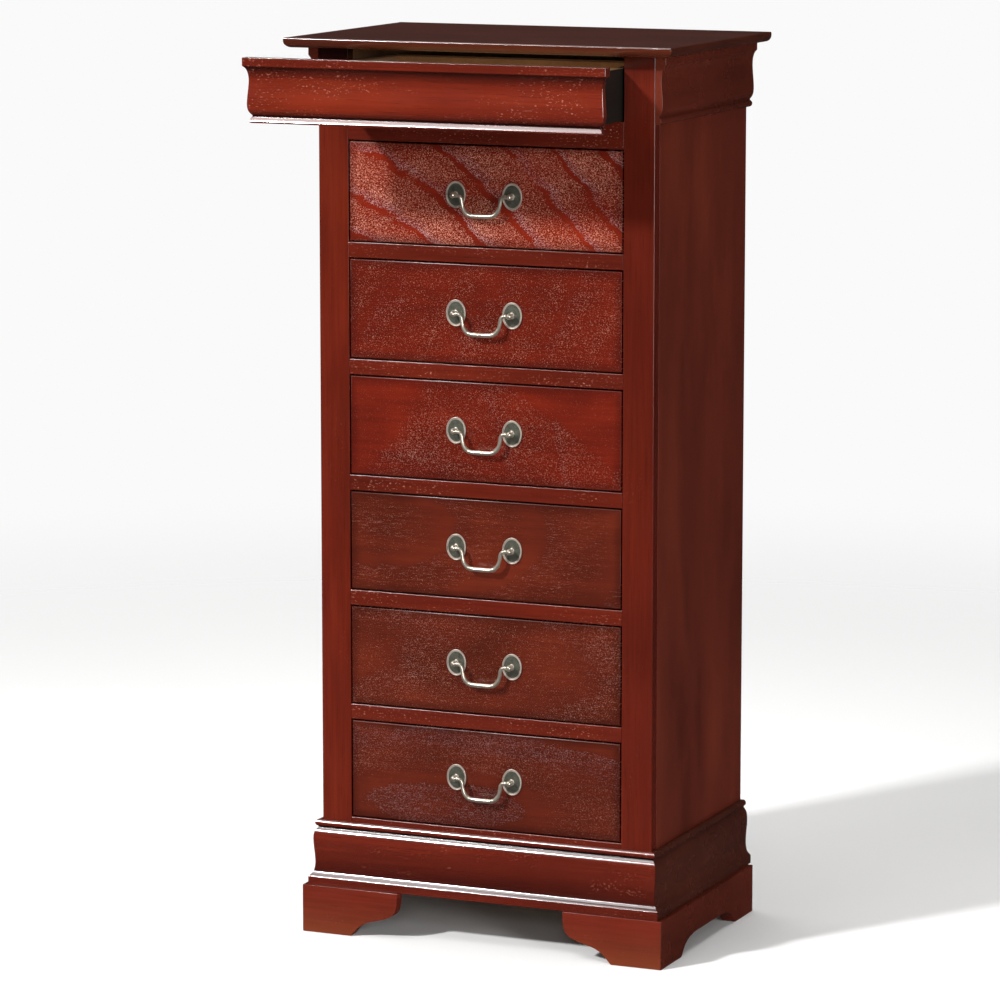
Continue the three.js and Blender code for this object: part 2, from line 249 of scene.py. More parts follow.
def lacquered(name, axis, dark, mid, light, seed, gloss=(0.20, 0.34), specular=0.5, mottle=0.55,
              flecks=0.25, fleck_colour=(0.42, 0.17, 0.12), coat=0.25, fleck_at=0.62, painted_shade_and_light=None, low_tint=None):
    """Stained, lacquered wood: slow changes of the stain, long grain, fine dark pores and sparse pale ones.

    painted_shade_and_light = (z0, z1, stops): painted shade and painted light by height, in mm, as a factor on the
    colour.
    low_tint = (z0, z1, colour, stops): how much of the colour is mixed in, by height.
    """
    k = Build(name)
    place = (seed * 0.371, seed * 0.173, seed * 0.259)
    slow = k.noise(k.mapped(along(axis, 9, 0.28), place), 1.0, 3.0, 0.55, 0.35)
    grain = k.noise(k.mapped(along(axis, 170, 0.035), place), 1.0, 4.0, 0.62, 0.25)
    fibre = k.noise(k.mapped(along(axis, 900, 0.02), place), 1.0, 2.0, 0.6)
    tone = k.math("ADD", k.math("MULTIPLY", slow, mottle), k.math("MULTIPLY", grain, 0.95 - mottle), clamp=True)
    colour = k.ramp(tone, [(0.26, dark), (0.50, mid), (0.74, light)])
    pores = k.spread(fibre, 0.60, 0.72)
    colour = k.mix(k.math("MULTIPLY", pores, 0.45), colour, tuple(c * 0.45 for c in dark))
    cluster = k.spread(k.noise(k.mapped(along(axis, 26, 0.35), place), 1.0, 3.0, 0.6), fleck_at - 0.12, fleck_at + 0.12)
    speck = k.spread(k.noise(k.mapped(along(axis, 560, 0.42), place), 1.0, 1.0, 0.5, 0.4), 0.62, 0.74)
    fleck = k.math("MULTIPLY", k.math("MULTIPLY", speck, cluster), flecks)
    colour = k.mix(fleck, colour, fleck_colour)
    for item in (painted_shade_and_light, low_tint):
        if not item:
            continue
        apart = k.nt.nodes.new("ShaderNodeSeparateXYZ")
        k.link(k.coord, apart.inputs[0])
        height_in = k.math("DIVIDE", k.math("SUBTRACT", apart.outputs[2], item[0] * MM), (item[1] - item[0]) * MM, clamp=True)
        # painted shade and painted light: the colour times a factor set by height
        if item is painted_shade_and_light:
            colour = k.mix(1.0, colour, k.ramp(height_in, item[2]), "MULTIPLY")
        else:
            # mixes in a colour by height; on the feet a lighter tan, most at the bottom
            colour = k.mix(k.math("MULTIPLY", k.ramp(height_in, item[3]), k.math("ADD", 0.45, slow)), colour, item[2])
    rough = k.math("ADD", gloss[0], k.math("MULTIPLY", k.noise(k.mapped((16, 16, 16), place), 1.0, 3.0, 0.6), gloss[1] - gloss[0]))
    height = k.math("SUBTRACT", k.math("MULTIPLY", grain, 0.5), k.math("MULTIPLY", pores, 0.5))
    normal = k.bump(height, 0.10, 0.00025)
    return k.finish(colour, rough, normal, Specular_IOR_Level=specular, Coat_Weight=coat, Coat_Roughness=0.12)


def veneer(name, number, centre, squeeze, period, shift, wander, wander_scale, density, lilac, streak,
           dark=(0.066, 0.0050, 0.0019), mid=(0.112, 0.0080, 0.0026), light=(0.160, 0.0128, 0.0038),
           pale=(0.42, 0.185, 0.125), grey=(0.265, 0.165, 0.172), bands=None, edge_dark=0.50, breaks=0.0, sides=(),
           floor_amount=0.0, tone_by=1.0, pale_by=1.0, fine_by=1.0, cools=None, crisp=24.0):
    """A drawer front: open-pored veneer whose pale pores gather in bands round a heart, under stain and lacquer.

    sides = [((u, v), (u, v), soft)]: the flecked zone lies to the left of each line, in fractions of the front.
    """
    k = Build(name)
    dark, mid, light = (tuple(c * tone_by for c in v) for v in (dark, mid, light))
    pale, grey = (tuple(c * pale_by for c in v) for v in (pale, grey))
    x0, x1, y0, y1, z0, z1 = mm_box(f"drawer_{number}_front")
    heart = at(centre[0], 0, (z0 + z1) / 2 + centre[1])
    flat = k.vmath("MULTIPLY", k.vmath("SUBTRACT", k.coord, tuple(heart)), (squeeze[0], 0.0, squeeze[1]))
    seed = (number * 0.617, number * 0.291, number * 0.437)
    drift = k.noise(k.mapped((wander_scale * 0.7, 1, wander_scale), seed), 1.0, 3.0, 0.55)
    ragged = k.noise(k.mapped((130, 20, 170), seed), 1.0, 3.0, 0.65)
    ring = k.math("ADD", k.vmath("LENGTH", flat), k.math("MULTIPLY", k.math("SUBTRACT", drift, 0.5), wander * MM))
    ring = k.math("ADD", ring, k.math("MULTIPLY", k.math("SUBTRACT", ragged, 0.5), 0.013))
    phase = k.math("FRACT", k.math("ADD", k.math("DIVIDE", ring, period * MM), shift))
    amount = k.ramp(phase, bands or [(0.0, 0.0), (0.06, 1.0), (0.30, 0.90), (0.60, 0.84), (0.82, 0.70), (0.90, 0.0)])
    cool = k.ramp(phase, cools or [(0.0, 0.0), (0.04, 0.9), (0.16, 0.55), (0.30, 0.0)])
    patch = k.noise(k.mapped((9, 1, 16), seed), 1.0, 3.0, 0.6)
    if breaks:
        gone = k.spread(k.noise(k.mapped((13, 1, 17), (seed[0] + 3.1, seed[1], seed[2] + 1.7)), 1.0, 2.0, 0.5), 0.50, 0.60)
        amount = k.mix(k.math("MULTIPLY", gone, breaks), amount, (0.86, 0.86, 0.86))
    amount = k.math("MULTIPLY", amount, k.math("ADD", k.math("MULTIPLY", patch, 1.1), 0.35), clamp=True)
    apart = k.nt.nodes.new("ShaderNodeSeparateXYZ")
    k.link(k.coord, apart.inputs[0])
    for (ua, va), (ub, vb), soft in sides:
        ax, az = (x0 + (x1 - x0) * ua) * MM, (z0 + (z1 - z0) * va) * MM
        bx, bz = (x0 + (x1 - x0) * ub) * MM, (z0 + (z1 - z0) * vb) * MM
        long_way = math.hypot(bx - ax, bz - az)
        nx, nz = -(bz - az) / long_way, (bx - ax) / long_way
        reach = k.math("ADD", k.math("MULTIPLY", apart.outputs[0], nx), k.math("MULTIPLY", apart.outputs[2], nz))
        reach = k.math("ADD", reach, k.math("MULTIPLY", k.math("SUBTRACT", drift, 0.5), 0.030))
        reach = k.math("ADD", reach, k.math("MULTIPLY", k.math("SUBTRACT", ragged, 0.5), 0.012))
        edge = ax * nx + az * nz
        amount = k.math("MULTIPLY", amount, k.spread(reach, edge - soft * MM, edge + soft * MM))
    if floor_amount:
        amount = k.math("MAXIMUM", amount, floor_amount)
    # the pores: short, curling, a millimetre or two long; some filled pale, some left dark
    wormy = k.noise(k.mapped((600 * fine_by, 60, 800 * fine_by), seed), 1.0, 1.6, 0.55, 0.9)
    fine = k.noise(k.mapped((1150, 60, 1400), seed), 1.0, 1.0, 0.5, 0.5)
    long = k.noise(k.mapped((70, 20, 640), seed), 1.0, 2.0, 0.6, 0.2)
    worm = k.math("ADD", k.math("MULTIPLY", wormy, 0.60), k.math("MULTIPLY", fine, 0.40))
    worm = k.math("ADD", k.math("MULTIPLY", worm, 1.0 - streak), k.math("MULTIPLY", long, streak))
    level = k.math("SUBTRACT", 0.640, k.math("MULTIPLY", amount, 0.105 * density))
    fleck = k.math("MULTIPLY", k.math("SUBTRACT", worm, level), crisp, clamp=True)
    fleck = k.math("MULTIPLY", fleck, k.math("ADD", k.math("MULTIPLY", amount, 0.62), 0.22), clamp=True)
    holes = k.math("MULTIPLY", k.math("SUBTRACT", 0.455, worm), 16.0, clamp=True)
    slow = k.noise(k.mapped((7, 1, 12), seed), 1.0, 3.0, 0.55, 0.3)
    grain = k.noise(k.mapped((7, 7, 190), seed), 1.0, 4.0, 0.6, 0.2)
    tone = k.math("ADD", k.math("MULTIPLY", slow, 0.65), k.math("MULTIPLY", grain, 0.35), clamp=True)
    colour = k.ramp(tone, [(0.28, dark), (0.50, mid), (0.72, light)])
    colour = k.mix(k.math("MULTIPLY", amount, 0.16), colour, tuple(c * 0.62 for c in dark))
    colour = k.mix(k.math("MULTIPLY", holes, k.math("ADD", k.math("MULTIPLY", amount, 0.75), 0.12)), colour, (0.018, 0.0036, 0.0026))
    tint = k.mix(k.math("MULTIPLY", cool, lilac), pale, grey)
    colour = k.mix(fleck, colour, tint)
    # the stain is darker towards the edges of the board
    from_x = k.math("MINIMUM", k.math("SUBTRACT", apart.outputs[0], x0 * MM), k.math("SUBTRACT", x1 * MM, apart.outputs[0]))
    from_z = k.math("MINIMUM", k.math("SUBTRACT", apart.outputs[2], z0 * MM), k.math("SUBTRACT", z1 * MM, apart.outputs[2]))
    border = k.spread(k.math("ADD", k.math("MINIMUM", from_x, from_z),
                             k.math("MULTIPLY", k.math("SUBTRACT", patch, 0.5), 0.016)), 0.0, 0.016)
    colour = k.mix(k.math("MULTIPLY", k.math("SUBTRACT", 1.0, border), edge_dark), colour, tuple(c * 0.42 for c in dark))
    rough = k.math("ADD", 0.24, k.math("MULTIPLY", fleck, 0.26))
    normal = k.bump(k.math("SUBTRACT", k.math("MULTIPLY", grain, 0.25), fleck), 0.06, 0.00025)
    return k.finish(colour, rough, normal, Specular_IOR_Level=0.40)


def bare_wood(name, axis, dark, light, seed, rough=0.55):
    """Sealed plain drawer wood with straight grain."""
    k = Build(name)
    place = (seed * 0.31, seed * 0.57, seed * 0.23)
    slow = k.noise(k.mapped(along(axis, 12, 0.2), place), 1.0, 3.0, 0.5, 0.4)
    grain = k.noise(k.mapped(along(axis, 260, 0.02), place), 1.0, 4.0, 0.6, 0.15)
    tone = k.math("ADD", k.math("MULTIPLY", slow, 0.5), k.math("MULTIPLY", grain, 0.5), clamp=True)
    colour = k.ramp(tone, [(0.28, dark), (0.72, light)])
    pores = k.spread(k.noise(k.mapped(along(axis, 900, 0.04), place), 1.0, 1.0, 0.5), 0.62, 0.72)
    colour = k.mix(k.math("MULTIPLY", pores, 0.5), colour, tuple(c * 0.5 for c in dark))
    normal = k.bump(grain, 0.12, 0.0003)
    r = k.math("ADD", rough, k.math("MULTIPLY", k.math("SUBTRACT", slow, 0.5), 0.16))
    return k.finish(colour, r, normal, Specular_IOR_Level=0.3)


def felt(name):
    """Short-piled tan felt."""
    k = Build(name)
    pile = k.noise(k.mapped((1500, 1500, 1500)), 1.0, 3.0, 0.7)
    nap = k.noise(k.mapped((34, 34, 34)), 1.0, 4.0, 0.6, 0.6)
    clump = k.noise(k.mapped((260, 260, 260)), 1.0, 3.0, 0.6)
    tone = k.math("ADD", k.math("MULTIPLY", pile, 0.45),
                  k.math("ADD", k.math("MULTIPLY", nap, 0.30), k.math("MULTIPLY", clump, 0.25)))
    colour = k.ramp(tone, [(0.30, (0.27, 0.145, 0.060)), (0.52, (0.42, 0.235, 0.100)), (0.74, (0.54, 0.32, 0.150))])
    normal = k.bump(k.math("ADD", pile, clump), 0.5, 0.0004)
    rough = k.math("ADD", 0.86, k.math("MULTIPLY", clump, 0.12))
    k.b.inputs["Sheen Weight"].default_value = 0.25
    k.b.inputs["Sheen Roughness"].default_value = 0.45
    return k.finish(colour, rough, normal, Specular_IOR_Level=0.15)


def pewter(name, dark, light, rough_low, rough_high, patina, brushed, metallic=1.0):
    """Antique plated metal: patina gathers in the low places, and the proud ones are rubbed bright."""
    k = Build(name)
    cloud = k.noise(k.mapped((150, 150, 150)), 1.0, 3.0, 0.55, 0.4)
    fine = k.noise(k.mapped((1500, 700, 420) if brushed else (1300, 1300, 1300)), 1.0, 3.0, 0.65)
    tone = k.math("ADD", k.math("MULTIPLY", cloud, 0.6), k.math("MULTIPLY", fine, 0.4), clamp=True)
    colour = k.ramp(tone, [(0.32, dark), (0.66, light)])
    spots = k.spread(k.noise(k.mapped((520, 520, 520), (0.2, 0.4, 0.1)), 1.0, 3.0, 0.6), 0.54, 0.70)
    colour = k.mix(k.math("MULTIPLY", spots, patina), colour, tuple(c * 0.35 for c in dark))
    rough = k.math("ADD", rough_low, k.math("MULTIPLY", tone, rough_high - rough_low))
    normal = k.bump(fine, 0.06 if not brushed else 0.2, 0.00006)
    return k.finish(colour, rough, normal, Metallic=metallic)


RED = dict(dark=(0.045, 0.0042, 0.0017), mid=(0.084, 0.0080, 0.0030), light=(0.140, 0.0150, 0.0044))
DEEP = dict(dark=(0.062, 0.0098, 0.0048), mid=(0.109, 0.0168, 0.0078), light=(0.165, 0.0260, 0.0110))
TOPC = dict(dark=(0.034, 0.0066, 0.0030), mid=(0.060, 0.0112, 0.0048), light=(0.096, 0.0175, 0.0072))
SHADE = dict(dark=(0.030, 0.0075, 0.0045), mid=(0.055, 0.0125, 0.0070), light=(0.090, 0.0200, 0.0100))
FOOTC = dict(dark=(0.074, 0.0070, 0.0026), mid=(0.124, 0.0128, 0.0045), light=(0.175, 0.0200, 0.0068))


def shade_and_light_marks(z0, z1, marks):
    """Ramp stops from (mm above z0, factor) marks: a factor below 1 is painted shade, above 1 painted light."""
    return (z0, z1, [((z - z0) / (z1 - z0), v) for z, v in marks])


TF = mm_box("top_drawer_front")
TK = (TF[5] - TF[4]) / MOULDING_TALL
BF = mm_box("base_moulding_front")
BK = (BF[5] - BF[4]) / MOULDING_TALL
# painted shade in the quirk above the bead and in the cove under the fillet, and painted light on the swell, of the top
# drawer's moulding
LIP_SHADE_AND_LIGHT = shade_and_light_marks(TF[4], TF[5], [(TF[4] + t * TK, v) for t, v in (
    (0, 1.0), (8.3, 1.0), (9.3, 0.06), (11.6, 0.06), (13.4, 0.6), (20, 1.22), (36, 1.38), (50, 1.45), (62, 1.22),
    (72, 0.70), (80.9, 0.18), (82.6, 1.05), (94, 1.05))])
# painted shade in the quirk and the cove of the base moulding, and a little painted light on its swell and lip
BASE_SHADE_AND_LIGHT = shade_and_light_marks(BF[4], BF[5], [(BF[5] - t * BK, v) for t, v in (
    (94, 1.1), (83.5, 1.1), (82.2, 0.7), (77, 0.45), (69, 0.55), (50, 0.95), (26, 1.15), (14, 1.0), (12.0, 0.04), (8.8, 0.04),
    (7.4, 0.7), (5, 1.0), (0, 1.0))])
# painted shadow of the top's overhang on the upper end of the right stile
STILE_PAINTED_SHADOW = shade_and_light_marks(1180, 1281, [(1180, 1.0), (1240, 1.05), (1262, 0.85), (1281, 0.45)])
# a deeper painted shadow on the left stile: a little darker from 700 mm up, nearly black under the top
LEFT_STILE_PAINTED_SHADOW = shade_and_light_marks(700, 1281, [(700, 1.0), (900, 0.96), (1100, 0.86), (1180, 0.82), (1240, 0.80), (1256, 0.34),
                                      (1270, 0.14), (1281, 0.08)])

M = {
    "stile": lacquered("cherry_upright", 2, seed=1.0, mottle=0.62, flecks=0.10, specular=0.42, coat=0.0, gloss=(0.17, 0.25), painted_shade_and_light=STILE_PAINTED_SHADOW, **RED),
    "left_stile": lacquered("cherry_left_upright_painted_shadow", 2, seed=1.6, mottle=0.62, flecks=0.10, specular=0.42, coat=0.0, gloss=(0.17, 0.25),
                            painted_shade_and_light=LEFT_STILE_PAINTED_SHADOW, **RED),
    "rail": lacquered("cherry_rail", 0, seed=2.3, mottle=0.55, flecks=0.62, fleck_at=0.52, specular=0.45, coat=0.0, gloss=(0.17, 0.26), **RED),
    "front_moulding": lacquered("cherry_front_moulding", 0, seed=3.7, mottle=0.62, flecks=0.45, fleck_at=0.60,
                                specular=0.9, coat=0.6, gloss=(0.12, 0.19), painted_shade_and_light=BASE_SHADE_AND_LIGHT, **RED),
    "lip": lacquered("cherry_lip_moulding", 0, seed=4.1, mottle=0.66, flecks=0.60, fleck_at=0.60,
                     specular=0.9, coat=0.6, gloss=(0.12, 0.19), painted_shade_and_light=LIP_SHADE_AND_LIGHT, **RED),
    # the feet: lighter tan towards the bottom
    "foot": lacquered("cherry_foot", 0, seed=5.2, mottle=0.60, flecks=0.22, fleck_at=0.60, specular=0.5, coat=0.0, gloss=(0.20, 0.30),
                      low_tint=(0, 69.5, (0.165, 0.042, 0.014), [(0.0, 0.60), (0.35, 0.25), (0.8, 0.0)]), **FOOTC),
    "side": lacquered("cherry_side_panel", 2, seed=6.4, mottle=0.72, flecks=0.16, specular=0.30, coat=0.0, gloss=(0.28, 0.38), fleck_at=0.60, **DEEP),
    "side_moulding": lacquered("cherry_side_moulding", 1, seed=7.9, mottle=0.66, flecks=0.10, specular=0.38, coat=0.0, gloss=(0.22, 0.32),
                               **{key: tuple(c * 0.80 for c in v) for key, v in DEEP.items()}),
    "base_side": lacquered("cherry_base_side_moulding", 1, seed=9.3, mottle=0.66, flecks=0.10, specular=0.38, coat=0.0,
                           gloss=(0.22, 0.32), **SHADE),
    "top": lacquered("cherry_top", 0, seed=8.8, mottle=0.60, flecks=0.05, specular=0.5, coat=0.3, gloss=(0.15, 0.23), **TOPC),
    "box_long": bare_wood("drawer_wood_long", 1, (0.115, 0.058, 0.028), (0.255, 0.150, 0.075), 1.0),
    "box_wide": bare_wood("drawer_wood_wide", 0, (0.110, 0.056, 0.027), (0.245, 0.145, 0.072), 2.0),
    "box_dark": bare_wood("drawer_wood_near_black", 1, (0.0060, 0.0052, 0.0040), (0.0150, 0.0120, 0.0085), 4.0),
    "case_inner": bare_wood("case_inner_wood", 2, (0.090, 0.044, 0.021), (0.205, 0.115, 0.058), 3.0),
    "felt": felt("tan_felt"),
    "plate": pewter("pewter_plate", (0.066, 0.068, 0.052), (0.140, 0.142, 0.110), 0.30, 0.44, 0.50, True, 0.62),
    "rim": pewter("pewter_rubbed", (0.36, 0.300, 0.255), (0.50, 0.415, 0.355), 0.34, 0.44, 0.12, False, 0.50),
    "bail": pewter("pewter_bail", (0.50, 0.45, 0.36), (0.72, 0.66, 0.55), 0.25, 0.33, 0.12, False, 0.85),
    "screw": pewter("zinc_screw", (0.30, 0.30, 0.30), (0.55, 0.54, 0.50), 0.25, 0.40, 0.2, False),
}

VENEERS = {
    1: veneer("veneer_1", 1, (-360, -450), (1, 1), 55, 0.30, 66, 10, 1.15, 1.0, 0.04, breaks=0.90, tone_by=1.30, pale_by=1.50,
              fine_by=0.84, crisp=40.0,
              bands=[(0.0, 0.05), (0.05, 1.0), (0.30, 0.92), (0.60, 0.86), (0.87, 0.76), (0.93, 0.0)]),
    2: veneer("veneer_2", 2, (-520, 250), (1, 1), 118, 0.30, 95, 9, 0.85, 0.55, 0.10, tone_by=0.84, pale_by=0.92,
              bands=[(0.0, 0.45), (0.20, 0.85), (0.50, 0.60), (0.80, 0.85), (1.0, 0.45)]),
    3: veneer("veneer_3", 3, (-120, -520), (1.0, 0.35), 66, 0.55, 40, 10, 0.88, 0.42, 0.05, tone_by=0.92, pale_by=0.66,
              bands=[(0.0, 0.62), (0.10, 1.0), (0.30, 0.80), (0.70, 0.68), (1.0, 0.62)],
              sides=[((0.07, 0.0), (0.30, 1.0), -22), ((1.02, 0.10), (0.58, 1.02), 6)], floor_amount=0.12),
    4: veneer("veneer_4", 4, (-170, 24), (0.44, 1), 60, 0.10, 30, 12, 0.85, 0.80, 0.30, breaks=0.3, tone_by=0.74, pale_by=0.50,
              bands=[(0.0, 0.05), (0.08, 0.95), (0.30, 0.80), (0.70, 0.62), (0.88, 0.10), (1.0, 0.05)], fine_by=1.15, crisp=20.0,
              dark=(0.060, 0.0078, 0.0032), mid=(0.104, 0.0128, 0.0048), light=(0.150, 0.0195, 0.0070)),
    5: veneer("veneer_5", 5, (-330, 10), (0.30, 1), 74, 0.10, 70, 10, 0.84, 0.55, 0.20, tone_by=0.72, pale_by=0.72,
              bands=[(0.0, 0.55), (0.12, 0.92), (0.55, 0.70), (1.0, 0.55)], fine_by=1.10, crisp=28.0,
              dark=(0.060, 0.0078, 0.0032), mid=(0.104, 0.0128, 0.0048), light=(0.150, 0.0195, 0.0070)),
    6: veneer("veneer_6", 6, (-62, -40), (0.27, 1), 80, 0.44, 26, 11, 0.88, 0.95, 0.14, tone_by=0.72, pale_by=0.50,
              bands=[(0.0, 0.35), (0.10, 0.75), (0.40, 0.85), (0.52, 1.0), (0.82, 1.0), (0.86, 0.10), (0.93, 0.05), (1.0, 0.35)],
              cools=[(0.0, 0.05), (0.38, 0.15), (0.50, 0.95), (0.82, 0.95), (0.88, 0.0)], fine_by=1.20, crisp=20.0,
              dark=(0.060, 0.0078, 0.0032), mid=(0.104, 0.0128, 0.0048), light=(0.150, 0.0195, 0.0070)),
}


# ------------------------------------------------------------------ mesh helpers
def keep(name, bm, body, nodes, materials, turn=50.0, weighted=True):
    """Makes the object of a bmesh, shades it, and puts it on its CAD body in place of the CAD nodes."""
    bmesh.ops.remove_doubles(bm, verts=bm.verts, dist=1e-7)
    bmesh.ops.recalc_face_normals(bm, faces=bm.faces)
    bm.normal_update()
    for f in bm.faces:
        f.smooth = True
    for e in bm.edges:
        if len(e.link_faces) == 2 and e.calc_face_angle(0) > math.radians(turn):
            e.smooth = False
    mesh = bpy.data.meshes.new(name)
    bm.to_mesh(mesh)
    bm.free()
    for m in materials if isinstance(materials, (list, tuple)) else [materials]:
        mesh.materials.append(m)
    o = bpy.data.objects.new(name, mesh)
    bpy.context.scene.collection.objects.link(o)
    if weighted:
        shade = o.modifiers.new("shade", "WEIGHTED_NORMAL")
        shade.keep_sharp = True
    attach(o, body)
    if nodes:
        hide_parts(*nodes)
    return o


def add_box(bm, x0, x1, y0, y1, z0, z1):
    """A box in millimetres; returns its faces."""
    v = [bm.verts.new(at(x, y, z)) for x in (x0, x1) for y in (y0, y1) for z in (z0, z1)]
    f = [(0, 1, 3, 2), (4, 6, 7, 5), (0, 4, 5, 1), (2, 3, 7, 6), (0, 2, 6, 4), (1, 5, 7, 3)]
    return [bm.faces.new([v[i] for i in q]) for q in f]


def bevel(bm, edges, r, segments=3):
    edges = [e for e in edges if e.is_valid]
    if edges:
        bmesh.ops.bevel(bm, geom=edges, offset=r * MM, offset_type="OFFSET", segments=segments, profile=0.5,
                        affect="EDGES", clamp_overlap=True)


def board(bm, box, ease=0.5, rounded=None, segments=2, material=0):
    """A sawn board with eased arrises. rounded = [(test(mid), radius, segments)] for the arrises that differ."""
    part = bmesh.new()
    add_box(part, *box)
    done = set()
    for test, r, seg in rounded or []:
        part.edges.ensure_lookup_table()
        chosen = [e for e in part.edges if test((e.verts[0].co + e.verts[1].co) / 2, e)]
        bevel(part, chosen, r, seg)
    sharp = [e for e in part.edges if len(e.link_faces) == 2 and e.calc_face_angle(0) > math.radians(60)]
    bevel(part, sharp, ease, segments)
    for f in part.faces:
        f.material_index = material
    merge(bm, part)


def merge(bm, part):
    """Adds part's faces to bm."""
    mesh = bpy.data.meshes.new("part")
    part.to_mesh(mesh)
    part.free()
    bm.from_mesh(mesh)
    bpy.data.meshes.remove(mesh)


def loft(bm, rings, closed=True, caps=True, material=0):
    """Quads between rings of the same number of points, with flat caps."""
    vs = [[bm.verts.new(p) for p in ring] for ring in rings]
    n = len(vs[0])
    faces = []
    for a, b in zip(vs, vs[1:]):
        for i in range(n if closed else n - 1):
            j = (i + 1) % n
            faces.append(bm.faces.new((a[i], a[j], b[j], b[i])))
    if caps:
        faces.append(bm.faces.new(list(reversed(vs[0]))))
        faces.append(bm.faces.new(vs[-1]))
    for f in faces:
        f.material_index = material
    return vs, faces


# ------------------------------------------------------------------ top board
def top_board():
    x0, x1, y0, y1, z0, z1 = mm_box("top_panel")
    w, r = x1, 9.5
    section = []                                          # inset from the edge, height
    for i in range(6):
        a = math.pi / 2 * i / 5
        section.append((1.9 - 1.9 * math.sin(a), z1 - 1.9 + 1.9 * math.cos(a)))
    n = 10
    for i in range(n + 1):
        a = math.pi / 2 * i / n
        section.append((r - r * math.cos(a), z0 + r - r * math.sin(a)))
    bm = bmesh.new()
    rings = [[at(-w + d, y1, z), at(-w + d, y0 + d, z), at(w - d, y0 + d, z), at(w - d, y1, z)] for d, z in section]
    vs, _ = loft(bm, rings)
    corners = [(1, 0.9), (2, 0.9)]
    chain = []
    for col, _r in corners:
        for a, b in zip(vs, vs[1:]):
            e = bm.edges.get((a[col], b[col]))
            if e:
                chain.append(e)
    bevel(bm, chain, 0.8, 2)
    keep("top_board", bm, "case", ["top_panel"], M["top"])


top_board()


# ------------------------------------------------------------------ face frame and case
def is_upright(e):
    d = e.verts[0].co - e.verts[1].co
    return abs(d.z) > abs(d.x) and abs(d.z) > abs(d.y)


for side, s in (("left", -1), ("right", 1)):
    b = mm_box(f"{side}_stile")
    bm = bmesh.new()
    outer = b[1] if s > 0 else b[0]
    board(bm, b, 0.45, [(lambda p, e: is_upright(e) and abs(p.x / MM - outer) < 0.1 and (p.y - FRONT) / MM < 0.1, 2.0, 5)], 2)
    keep(f"{side}_stile_board", bm, "case", [f"{side}_stile"], M["left_stile" if side == "left" else "stile"])

    b = mm_box(f"{side}_side_panel")
    bm = bmesh.new()
    board(bm, b, 0.45, [(lambda p, e: is_upright(e) and abs(p.x / MM - (b[1] if s > 0 else b[0])) < 0.1 and (p.y - FRONT) / MM > 300, 1.2, 3)], 2)
    keep(f"{side}_side_board", bm, "case", [f"{side}_side_panel"], M["side"])

    b = mm_box(f"{side}_guide_board")
    bm = bmesh.new()
    board(bm, b, 0.4)
    keep(f"{side}_drawer_guide", bm, "case", [f"{side}_guide_board"], M["case_inner"])

    b = mm_box(f"{side}_base_cleat")
    bm = bmesh.new()
    board(bm, b, 1.0)
    keep(f"{side}_cleat", bm, "case", [f"{side}_base_cleat"], M["box_long"])

bm = bmesh.new()
board(bm, mm_box("back_panel"), 0.4)
keep("back_board", bm, "case", ["back_panel"], M["case_inner"])

for k in range(1, COUNT + 1):
    x0, x1, y0, y1, z0, z1 = mm_box(f"drawer_divider_{k}")
    bm = bmesh.new()
    board(bm, (x0, x1, 0.0, 18.0, z0, z1), 0.3,
          [(lambda p, e: not is_upright(e) and (p.y - FRONT) / MM < 0.1 and abs(e.verts[0].co.x - e.verts[1].co.x) > 0.1, 0.9, 3)], 2)
    board(bm, (x0, x1, 18.1, y1, z1 - 8, z1), 0.3, material=1)
    keep(f"rail_{k}", bm, "case", [f"drawer_divider_{k}"], [M["rail"], M["box_wide"]])

x0, x1, y0, y1, z0, z1 = mm_box("base_panel")
bm = bmesh.new()
board(bm, (x0, x1, 0.0, 18.0, z0, z1), 0.3,
      [(lambda p, e: not is_upright(e) and (p.y - FRONT) / MM < 0.1 and abs(e.verts[0].co.x - e.verts[1].co.x) > 0.1, 0.9, 3)], 2)
board(bm, (x0, x1, 18.1, y1, z0, z1), 0.3, material=1)
keep("bottom_rail_and_base", bm, "case", ["base_panel"], [M["rail"], M["box_wide"]])


# ------------------------------------------------------------------ mouldings
def outer_edges(bm, points):
    """Edges that join consecutive points of a polyline of vertices."""
    out = []
    for a, b in zip(points, points[1:]):
        e = bm.edges.get((a, b))
        if e:
            out.append(e)
    return out


def steps(a, b, pitch=42.0):
    """Values from a to b in even steps of about the pitch."""
    n = max(1, round(abs(b - a) / pitch))
    return [a + (b - a) * i / n for i in range(n + 1)]


def cornice_side(side, s):
    x0, x1, y0, y1, z0, z1 = mm_box(f"{side}_cornice_moulding")
    k = (z1 - z0) / MOULDING_TALL
    face = [(z0 + t * k, c) for t, c in moulding_face()]
    inner = CASE_HALF + GAP

    def section(y, cut):
        return [at(s * inner, y, z0)] + [at(s * (CASE_HALF + c - cut), y, z) for z, c in face] + [at(s * inner, y, z1)]

    bm = bmesh.new()
    loft(bm, [section(y0, 0.8), section(y0 + 0.12, 0.42), section(y0 + 0.42, 0.12)]
         + [section(y, 0.0) for y in steps(y0 + 0.8, y1)])
    keep(f"{side}_cornice", bm, "case", [f"{side}_cornice_moulding"], M["side_moulding"])


def base_face():
    x0, x1, y0, y1, z0, z1 = mm_box("base_moulding_front")
    k = (z1 - z0) / MOULDING_TALL
    return [(z1 - t * k, c) for t, c in moulding_face(1.3, 0.97)], z0, z1


def base_front():
    face, z0, z1 = base_face()
    section = [(-GAP, z1)] + [(-c, z) for z, c in face] + [(-GAP, z0)]
    bm = bmesh.new()
    loft(bm, [[at(f * (CASE_HALF - GAP - y), y, z) for y, z in section] for f in steps(-1.0, 1.0, 1 / 6)])
    keep("base_front", bm, "case", ["base_moulding_front"], M["front_moulding"])


